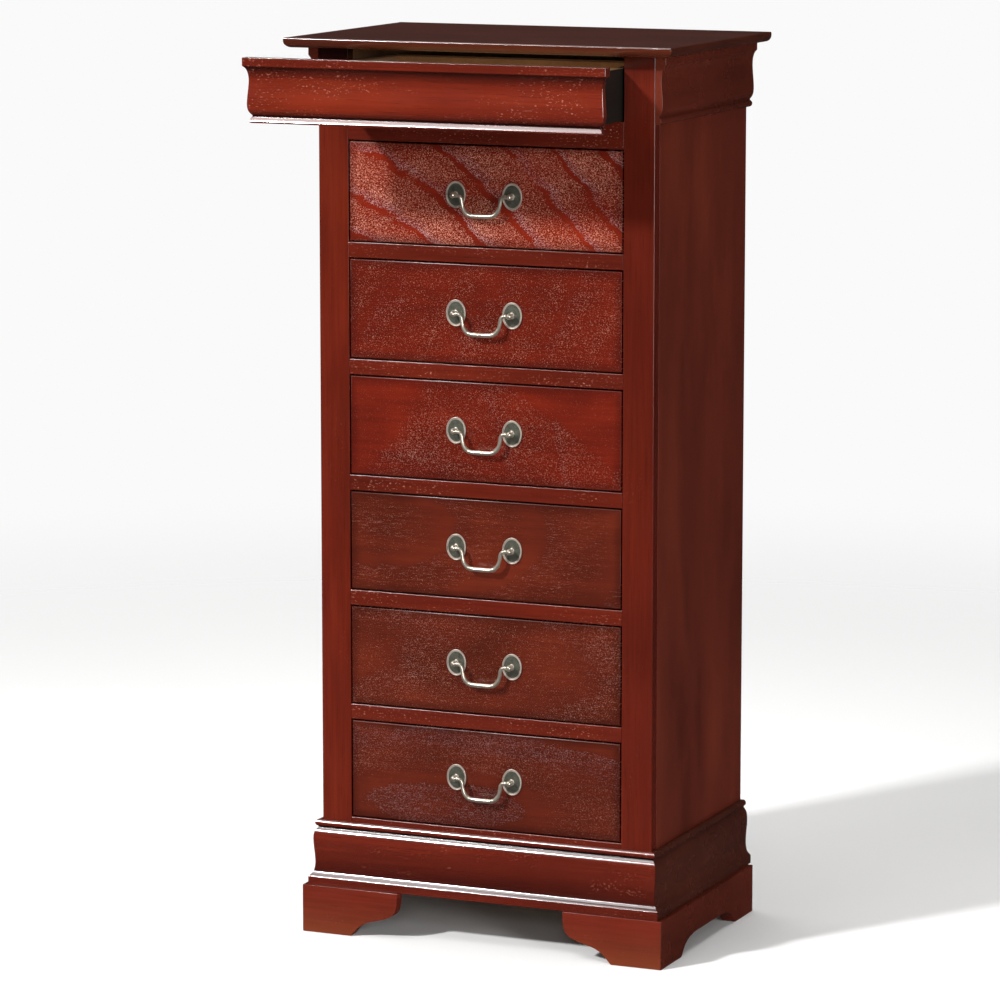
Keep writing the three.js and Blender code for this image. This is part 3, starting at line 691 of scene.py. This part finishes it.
def base_side(side, s):
    face, z0, z1 = base_face()
    section = [(CASE_HALF + GAP, z1)] + [(CASE_HALF + c, z) for z, c in face] + [(CASE_HALF + GAP, z0)]
    bm = bmesh.new()
    rings = []
    for f in steps(0.0, 1.0, 1 / 9):
        rings.append([at(s * x, (-(x - CASE_HALF) + GAP) * (1 - f) + CASE_DEPTH * f, z) for x, z in section])
    loft(bm, rings)
    keep(f"base_{side}", bm, "case", [f"base_moulding_{side}"], M["base_side"])


base_front()
for side, s in (("left", -1), ("right", 1)):
    cornice_side(side, s)
    base_side(side, s)


# ------------------------------------------------------------------ feet
FOOT_RISE = [(75.7, 0), (80, 4.6), (86.3, 11.8), (94.8, 18.1), (105.4, 22.9), (118.1, 26.4),
             (130.9, 30.3), (139.4, 34.2), (145.8, 40.4), (149.2, 51.5), (150, 69.5)]
ARCH = [(56.8, 0), (59.6, 1.2), (64, 5.2), (71, 12.2), (82, 18.6), (96, 22.9), (116, 25)]


def front_foot(side, s):
    x0, x1, y0, y1, z0, z1 = mm_box(f"{side}_front_foot")
    W = x1 if s > 0 else -x0
    k = z1 / 69.5
    outline = [(0, 0)] + [(p[0], p[1] * k) for p in curve_through(FOOT_RISE, 5)] + [(0, z1)]
    bm = bmesh.new()
    depth = y1 - y0
    rings = []
    for y, cut in ((y0, 0.0), (y1, 20.0)):
        rings.append([at(s * (W - max(d, cut)), y, z) for d, z in outline])
    vs, _ = loft(bm, rings)
    ring = vs[0] + [vs[0][0]]
    bevel(bm, outer_edges(bm, ring), 0.6, 3)
    keep(f"{side}_front_bracket", bm, "case", [f"{side}_front_foot"], M["foot"])


def side_foot(side, s):
    x0, x1, y0, y1, z0, z1 = mm_box(f"{side}_side_foot_board")
    W = x1 if s > 0 else -x0
    thick = x1 - x0
    arch = [tuple(p) for p in curve_through(ARCH, 4)]
    arch = arch + [(335.0 - y, z) for y, z in reversed(arch)]
    outline = [(y0, 0)] + arch + [(y1, 0), (y1, z1), (y0, z1)]
    bm = bmesh.new()
    rings = []
    for x, cut in ((W, 0.0), (W - thick, 17.0)):
        rings.append([at(s * x, max(y, y0 + cut), z) for y, z in outline])
    vs, _ = loft(bm, rings)
    ring = vs[0] + [vs[0][0]]
    bevel(bm, outer_edges(bm, ring), 0.6, 3)
    keep(f"{side}_side_bracket", bm, "case", [f"{side}_side_foot_board"], M["side_moulding"])


for side, s in (("left", -1), ("right", 1)):
    front_foot(side, s)
    side_foot(side, s)


# ------------------------------------------------------------------ drawer boxes
def drawer_box(name, node, body, front_wall):
    x0, x1, y0, y1, z0, z1 = mm_box(node)
    t, floor_low, floor_top = 12.0, z0 + 8.0, z0 + 14.0
    bm = bmesh.new()

    def along_y_top(p, e):
        return abs(e.verts[0].co.y - e.verts[1].co.y) > 0.05 and p.z / MM > z1 - 0.1

    def along_x_top(p, e):
        return abs(e.verts[0].co.x - e.verts[1].co.x) > 0.05 and p.z / MM > z1 - 0.1

    for a, b in ((x0, x0 + t), (x1 - t, x1)):
        board(bm, (a, b, y0, y1, z0, z1), 0.3, [(along_y_top, 1.8, 4)], 2, material=0)
    board(bm, (x0 + t + 0.05, x1 - t - 0.05, y1 - t, y1 - 0.05, z0, z1 - 0.6), 0.3, [(along_x_top, 0.6, 2)], 2, material=1)
    start = y0
    if front_wall:
        board(bm, (x0 + t + 0.05, x1 - t - 0.05, y0, y0 + front_wall, z0, z1 - 0.6), 0.3, [(along_x_top, 0.6, 2)], 2, material=1)
        start = y0 + front_wall
    board(bm, (x0 + t - 0.0, x1 - t + 0.0, start + 0.05, y1 - t - 0.05, floor_low, floor_top), 0.2, segments=1, material=1)
    # the top drawer's outer side faces get the near-black wood
    if front_wall:
        for f in bm.faces:
            if abs(abs(f.calc_center_median().x) / MM - x1) < 0.3:
                f.material_index = 2
    keep(name, bm, body, [node], [M["box_long"], M["box_wide"], M["box_dark"]])


drawer_box("top_drawer_tray", "top_drawer_box", "top_drawer", 14.0)
for k in range(1, COUNT + 1):
    drawer_box(f"drawer_{k}_tray", f"drawer_{k}_box", f"drawer_{k}", 0)


# ------------------------------------------------------------------ felt lining of the top drawer
def lining():
    x0, x1, y0, y1, z0, z1 = mm_box("top_drawer_lining")
    t = 2.0

    def plan(inset, r, n=5):
        out = []
        for cx, cy, a0 in ((x1 - inset - r, y1 - inset - r, 0), (x0 + inset + r, y1 - inset - r, 90),
                           (x0 + inset + r, y0 + inset + r, 180), (x1 - inset - r, y0 + inset + r, 270)):
            for i in range(n + 1):
                a = math.radians(a0 + 90 * i / n)
                out.append((cx + r * math.cos(a), cy + r * math.sin(a)))
        return out

    def ring(inset, r, z):
        return [at(x, y, z) for x, y in plan(inset, r)]

    rings = [ring(1.2, 0.8, z0), ring(0.2, 1.2, z0 + 0.6), ring(0.0, 1.2, z0 + 2), ring(0.0, 1.2, z1 - 1.0),
             ring(0.35, 1.2, z1 - 0.25), ring(1.0, 1.5, z1), ring(1.65, 1.8, z1 - 0.25), ring(t, 2.0, z1 - 1.0)]
    for i in range(7):
        a = math.pi / 2 * i / 6
        rings.append(ring(t + 3 - 3 * math.cos(a), 2.0 + 1.2, z0 + t + 3 - 3 * math.sin(a)))
    bm = bmesh.new()
    loft(bm, rings)
    keep("felt_tray_lining", bm, "top_drawer", ["top_drawer_lining"], M["felt"])


lining()


# ------------------------------------------------------------------ top drawer front
def top_front():
    x0, x1, y0, y1, z0, z1 = mm_box("top_drawer_front")
    proud = 15.6
    w = x1 - proud
    k = (z1 - z0) / MOULDING_TALL
    r = 1.3

    def ring(c, z):
        out = [at(-w - c, y, z) for y in (y1, (y1 - c + r + y1) / 2)]
        for i in range(5):
            a = math.pi / 2 * i / 4
            out.append(at(-w - c + r - r * math.cos(a), y1 - c + r - r * math.sin(a), z))
        out += [at(x, y1 - c, z) for x in steps(-w, w)]
        for i in range(5):
            a = math.pi / 2 * i / 4
            out.append(at(w + c - r + r * math.sin(a), y1 - c + r - r * math.cos(a), z))
        out += [at(w + c, y, z) for y in ((y1 - c + r + y1) / 2, y1)]
        return out

    bm = bmesh.new()
    loft(bm, [ring(c, z0 + t * k) for t, c in moulding_face(nose=2.4)])
    keep("top_drawer_moulded_front", bm, "top_drawer", ["top_drawer_front"], M["lip"])


top_front()


# ------------------------------------------------------------------ drawer fronts
for k in range(1, COUNT + 1):
    b = mm_box(f"drawer_{k}_front")
    b = (b[0] + 0.5, b[1] - 0.5, b[2], b[3], b[4] + 0.4, b[5] - 0.6)
    bm = bmesh.new()
    board(bm, b, 0.5, [(lambda p, e: (p.y - FRONT) / MM < 0.1, 1.5, 5)], 2)
    keep(f"drawer_{k}_face", bm, f"drawer_{k}", [f"drawer_{k}_front"], VENEERS[k])


# ------------------------------------------------------------------ pulls
def lathe(bm, section, turns, centre, squeeze=(1.0, 1.0), material=0, bands=None):
    """Turns (radius, height) about an axis that points out of the drawer (-y). bands: material by section index."""
    rings = []
    cx, cy, cz = centre
    tip0 = section[0][0] < 1e-6
    tip1 = section[-1][0] < 1e-6
    core = section[1 if tip0 else 0: len(section) - (1 if tip1 else 0)]
    vs = []
    for r, h in core:
        vs.append([bm.verts.new(at(cx + r * squeeze[0] * math.cos(2 * math.pi * i / turns), cy - h,
                                   cz + r * squeeze[1] * math.sin(2 * math.pi * i / turns))) for i in range(turns)])
    for row, (a, b) in enumerate(zip(vs, vs[1:])):
        for i in range(turns):
            j = (i + 1) % turns
            f = bm.faces.new((a[i], a[j], b[j], b[i]))
            f.material_index = bands[row] if bands else material
    if tip0:
        c = bm.verts.new(at(cx, cy - section[0][1], cz))
        for i in range(turns):
            f = bm.faces.new((c, vs[0][(i + 1) % turns], vs[0][i]))
            f.material_index = bands[0] if bands else material
    else:
        bm.faces.new(list(reversed(vs[0])))
    if tip1:
        c = bm.verts.new(at(cx, cy - section[-1][1], cz))
        for i in range(turns):
            f = bm.faces.new((c, vs[-1][i], vs[-1][(i + 1) % turns]))
            f.material_index = bands[-1] if bands else material
    else:
        bm.faces.new(vs[-1])


def arc(cr, ch, r, a0, a1, n):
    """Points (radius, height) on an arc about (cr, ch), angles in degrees from the outward radius."""
    return [(cr + r * math.cos(math.radians(a0 + (a1 - a0) * i / n)), ch + r * math.sin(math.radians(a0 + (a1 - a0) * i / n)))
            for i in range(n + 1)]


def pull(k):
    f = mm_box(f"drawer_{k}_front")
    bail_box = mm_box(f"pull_{k}_bail")
    p = mm_box(f"pull_{k}_right_post")
    cx = (p[0] + p[1]) / 2
    cz = (p[4] + p[5]) / 2
    half_w, half_h = (p[1] - p[0]) / 2, (p[5] - p[4]) / 2
    pivot = 12.5
    for side, s in (("left", -1), ("right", 1)):
        bm = bmesh.new()
        # the plate: oval, with a rolled rim and a shallow dished field
        R = half_h
        rim = [(0, 0.35), (R - 0.9, 0.35), (R - 0.15, 0.7), (R, 1.2)] + arc(R - 0.80, 1.75, 0.80, 0, 150, 7) + \
              [(R - 1.65, 1.75), (R - 1.90, 1.42)]
        field = [(R - 3.2, 1.28), (R * 0.6, 1.62), (R * 0.42, 1.75), (5.2, 1.85)]
        boss = [(4.9, 1.95), (4.75, 2.5), (4.2, 2.95), (3.4, 3.1)]
        section = rim + field + boss
        bands = [1] * (len(rim) - 1) + [0] * (len(field) + 1) + [1] * (len(boss) + 2)
        lathe(bm, section + [(3.35, 3.3)], 56, (s * cx, 0, cz), (half_w / half_h, 1.0), bands=bands)
        # the post: a waisted stem and a ball with a small tip
        post = [(0, 3.0), (3.15, 3.0), (3.0, 3.4), (2.55, 4.4), (2.35, 5.6), (2.45, 6.9), (2.9, 8.0), (3.25, 8.4), (3.3, 8.8), (3.0, 9.1)]
        ball = [(r, h) for r, h in arc(0, pivot, 4.3, -52, 62, 12)]
        tip = [(1.75, 16.45), (1.55, 16.75), (0.9, 16.9), (0, 16.9)]
        lathe(bm, post + ball + tip, 32, (s * cx, 0, cz), material=2)
        keep(f"pull_{k}_{side}_plate_and_post", bm, f"drawer_{k}", [f"pull_{k}_{side}_post"], [M["plate"], M["rim"], M["bail"]],
             turn=40, weighted=False)
        # the screw that holds the post, seen on the back of the drawer front
        bm = bmesh.new()
        y = f[3]
        head = [(0, 0.02), (3.9, 0.02), (4.2, 0.35), (4.2, 0.9), (3.7, 1.7), (2.4, 2.15), (0.9, 2.25), (0, 2.25)]
        lathe(bm, [(r, -h) for r, h in head], 28, (s * cx, y, cz))
        keep(f"pull_{k}_{side}_screw", bm, f"drawer_{k}", None, M["screw"], turn=40, weighted=False)

    # the bail
    half = [(41.6, 0), (39.4, 0), (36.5, -0.05), (34.4, -0.35), (32.2, -1.3), (30.6, -3.4), (29.7, -6.2), (29.2, -9.6),
            (28.5, -13.6), (27.0, -18.2), (24.3, -22.5), (20.9, -25.6), (17.0, -27.4), (12.0, -28.05), (6.0, -28.2)]
    line = [(-x, z) for x, z in half] + [(0, -28.2)] + [(x, z) for x, z in reversed(half)]
    path = curve_through(line, 5)
    widths = []
    for q in path:
        x, z = abs(q[0]), q[1]
        r = 2.56
        r += 0.40 * math.exp(-((x - 37.2) / 1.5) ** 2) * (1 if z > -2 else 0)         # collar beside the ball
        low = max(0.0, min(1.0, (-z - 14) / 12))
        r += 0.62 * low * low * (3 - 2 * low)                                          # thicker grip
        if z < -26 and 15.0 < x < 20.0:
            r += 0.16 * math.sin((x - 15.0) / 5.0 * math.pi)
        widths.append(r)
    bm = bmesh.new()
    n = 18
    rings = []
    for i, q in enumerate(path):
        a = path[max(i - 1, 0)]
        b = path[min(i + 1, len(path) - 1)]
        d = (b - a).normalized()
        side_v = Vector((-d[1], d[0]))
        r = widths[i]
        ring = []
        for j in range(n):
            t = 2 * math.pi * j / n
            ring.append(at(q[0] + side_v[0] * r * math.cos(t), -pivot - r * math.sin(t), cz + q[1] + side_v[1] * r * math.cos(t)))
        rings.append(ring)
    loft(bm, rings)
    keep(f"pull_{k}_handle", bm, f"bail_{k}", [f"pull_{k}_bail"], M["bail"], turn=60, weighted=False)


for k in range(1, COUNT + 1):
    pull(k)


# ------------------------------------------------------------------ floor, light, camera
def floor():
    bm = bmesh.new()
    n, rings = 96, [0.0, 0.5, 1.0, 2.0, 3.5, 5.0, 7.0, 9.0]
    centre = bm.verts.new((0, 0, 0))
    last = None
    for r in rings[1:]:
        now = [bm.verts.new((r * math.cos(2 * math.pi * i / n), r * math.sin(2 * math.pi * i / n), 0)) for i in range(n)]
        for i in range(n):
            j = (i + 1) % n
            if last is None:
                bm.faces.new((centre, now[i], now[j]))
            else:
                bm.faces.new((last[i], now[i], now[j], last[j]))
        last = now
    mesh = bpy.data.meshes.new("studio_floor")
    bm.to_mesh(mesh)
    bm.free()
    o = bpy.data.objects.new("studio_floor", mesh)
    bpy.context.scene.collection.objects.link(o)
    m = bpy.data.materials.new("pale_floor")
    m.use_nodes = True
    nt = m.node_tree
    nt.nodes.clear()
    out = nt.nodes.new("ShaderNodeOutputMaterial")
    diffuse = nt.nodes.new("ShaderNodeBsdfDiffuse")
    diffuse.inputs["Color"].default_value = (0.86, 0.855, 0.85, 1)
    clear = nt.nodes.new("ShaderNodeBsdfTransparent")
    mix = nt.nodes.new("ShaderNodeMixShader")
    tc = nt.nodes.new("ShaderNodeTexCoord")
    length = nt.nodes.new("ShaderNodeVectorMath")
    length.operation = "LENGTH"
    fade = nt.nodes.new("ShaderNodeMapRange")
    fade.interpolation_type = "SMOOTHSTEP"
    fade.inputs["From Min"].default_value = 0.9
    fade.inputs["From Max"].default_value = 4.0
    nt.links.new(tc.outputs["Object"], length.inputs[0])
    nt.links.new(length.outputs["Value"], fade.inputs["Value"])
    nt.links.new(fade.outputs[0], mix.inputs[0])
    nt.links.new(diffuse.outputs[0], mix.inputs[1])
    nt.links.new(clear.outputs[0], mix.inputs[2])
    nt.links.new(mix.outputs[0], out.inputs[0])
    mesh.materials.append(m)
    o.visible_glossy = False
    return o


floor()


def area(name, place, target, size, power, colour=(1, 1, 1), size_y=None):
    data = bpy.data.lights.new(name, "AREA")
    data.shape = "RECTANGLE"
    data.size = size
    data.size_y = size_y or size
    data.energy = power
    data.color = colour
    o = bpy.data.objects.new(name, data)
    o.location = place
    o.rotation_euler = (Vector(target) - Vector(place)).to_track_quat("-Z", "Y").to_euler()
    bpy.context.scene.collection.objects.link(o)
    return o


area("key", (-3.10, -5.10, 4.50), (0, -0.1, 0.60), 0.50, 560)
area("upper_left_panel", (-0.95, -1.65, 3.10), (-0.45, -0.6, 0.5), 2.2, 38, size_y=1.15)
area("overhead", (0.1, 0.7, 3.15), (0, 0.3, 0.0), 2.2, 56, size_y=2.2)
area("right_panel", (4.1, -3.3, 1.30), (0.1, 0.0, 0.75), 1.1, 140, size_y=2.3)
area("front_fill", (2.0, -5.2, 1.92), (0, 0, 1.0), 1.3, 46, size_y=0.9)
area("back_left", (-2.4, 2.0, 3.5), (0, 0.1, 0.7), 1.6, 18)

world = bpy.data.worlds.new("studio")
bpy.context.scene.world = world
world.use_nodes = True
nt = world.node_tree
nt.nodes.clear()
wout = nt.nodes.new("ShaderNodeOutputWorld")
seen = nt.nodes.new("ShaderNodeBackground")
seen.inputs["Color"].default_value = (0.955, 0.955, 0.955, 1)
around = nt.nodes.new("ShaderNodeBackground")
around.inputs["Color"].default_value = (1, 1, 1, 1)
around.inputs["Strength"].default_value = 0.12
mirrored = nt.nodes.new("ShaderNodeBackground")
mirrored.inputs["Color"].default_value = (1, 1, 1, 1)
mirrored.inputs["Strength"].default_value = 0.02
path = nt.nodes.new("ShaderNodeLightPath")
choose = nt.nodes.new("ShaderNodeMixShader")
gloss = nt.nodes.new("ShaderNodeMixShader")
nt.links.new(path.outputs["Is Glossy Ray"], gloss.inputs[0])
nt.links.new(around.outputs[0], gloss.inputs[1])
nt.links.new(mirrored.outputs[0], gloss.inputs[2])
nt.links.new(path.outputs["Is Camera Ray"], choose.inputs[0])
nt.links.new(gloss.outputs[0], choose.inputs[1])
nt.links.new(seen.outputs[0], choose.inputs[2])
nt.links.new(choose.outputs[0], wout.inputs[0])

CAMERA_AT = at(2602.5, -5958.8, 1714.1)
YAW, PITCH, LENS = 0.4084, 0.1623, 168.06
cam_data = bpy.data.cameras.new("camera")
cam_data.lens = LENS
cam_data.sensor_width = 36
cam_data.clip_end = 100
cam = bpy.data.objects.new("camera", cam_data)
cam.location = CAMERA_AT
look = Vector((-math.sin(YAW) * math.cos(PITCH), math.cos(YAW) * math.cos(PITCH), -math.sin(PITCH)))
cam.rotation_euler = look.to_track_quat("-Z", "Y").to_euler()
bpy.context.scene.collection.objects.link(cam)
bpy.context.scene.camera = cam

view = bpy.context.scene.view_settings
view.view_transform = "Standard"
view.look = "None"
view.exposure = 0.0
view.gamma = 1.0
